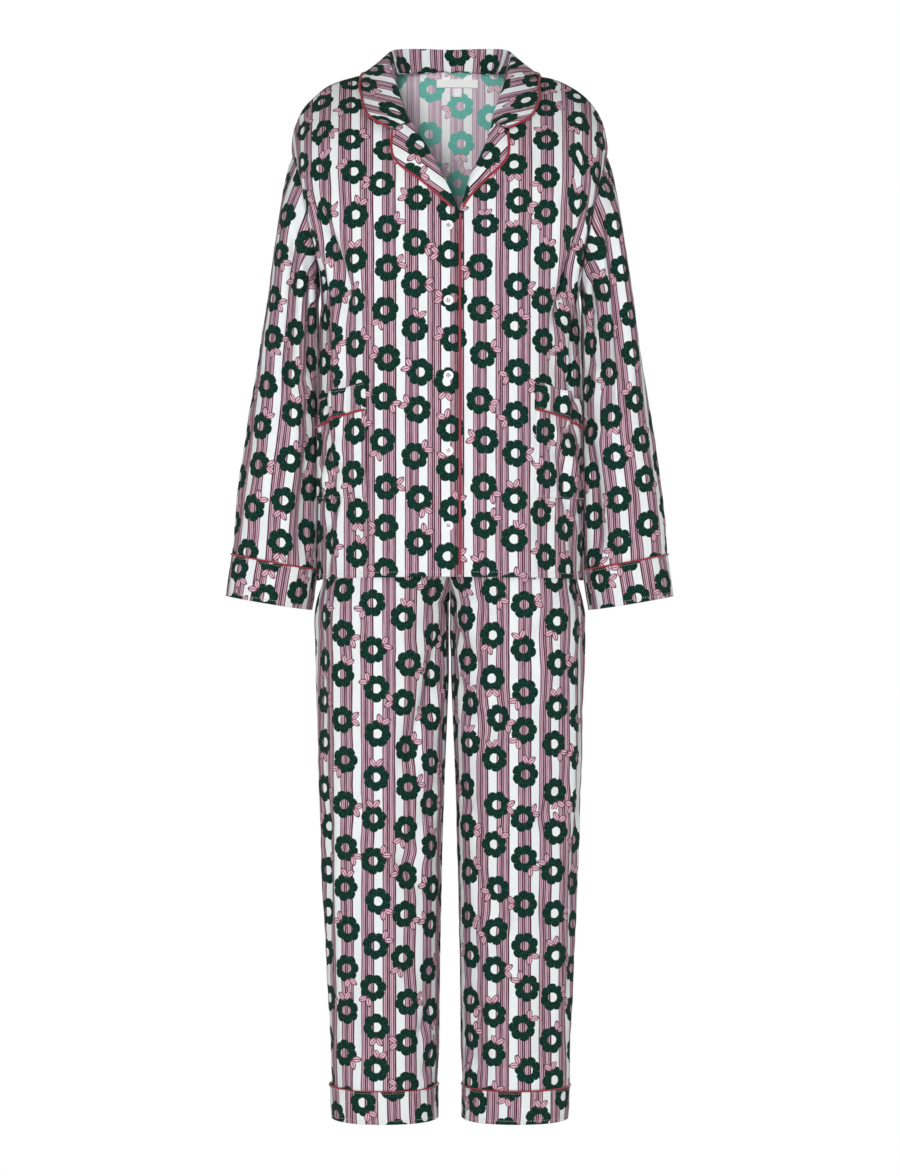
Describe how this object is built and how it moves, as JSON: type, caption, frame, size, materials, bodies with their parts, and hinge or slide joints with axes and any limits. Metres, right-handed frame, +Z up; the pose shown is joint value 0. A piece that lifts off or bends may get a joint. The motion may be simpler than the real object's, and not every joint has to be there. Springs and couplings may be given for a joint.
{
  "type": "pyjama set",
  "caption": "Worn, hollow pyjama set: button-front shirt with notch collar, patch pockets and piped edges, over straight long trousers with turned-up cuffs.",
  "frame": {"origin": "centre of the neck opening at the height of the shoulder line, where the wearer's neck and shoulders hold the shirt", "axes": "+Z up, -Y the front of the garments, +X the wearer's left"},
  "size_m": [0.605, 0.2538, 1.4513],
  "materials": {
    "printed_cotton": "soft woven cotton, printed with burgundy pinstripes and dark green motifs on white",
    "printed_cotton_trim": "the same printed cotton, two layers thick",
    "waistband_cotton": "printed cotton gathered over elastic",
    "piping": "satin crimson piping",
    "button": "glossy white four-hole button",
    "label_tape": "blank white woven tape"
  },
  "bodies": {
    "root": {"shirt_front_right": "printed_cotton", "shirt_front_left": "printed_cotton", "shirt_back": "printed_cotton", "sleeve_right": "printed_cotton", "sleeve_left": "printed_cotton", "trouser_front_right": "printed_cotton", "trouser_front_left": "printed_cotton", "trouser_back_right": "printed_cotton", "trouser_back_left": "printed_cotton", "sleeve_cuff_right": "printed_cotton_trim", "sleeve_cuff_left": "printed_cotton_trim", "collar": "printed_cotton_trim", "lapel_right": "printed_cotton_trim", "lapel_left": "printed_cotton_trim", "pocket_right": "printed_cotton_trim", "pocket_left": "printed_cotton_trim", "pocket_band_right": "printed_cotton_trim", "pocket_band_left": "printed_cotton_trim", "leg_cuff_right": "printed_cotton_trim", "leg_cuff_left": "printed_cotton_trim", "waistband": "waistband_cotton", "piping_collar": "piping", "piping_front_edge": "piping", "piping_lapel_right": "piping", "piping_lapel_left": "piping", "piping_pocket_right": "piping", "piping_pocket_left": "piping", "piping_sleeve_cuff_right": "piping", "piping_sleeve_cuff_left": "piping", "piping_leg_cuff_right": "piping", "piping_leg_cuff_left": "piping", "button_1": "button", "button_2": "button", "button_3": "button", "button_4": "button", "button_5": "button", "neck_label": "label_tape", "size_tag": "label_tape"}
  },
  "joints": []
}
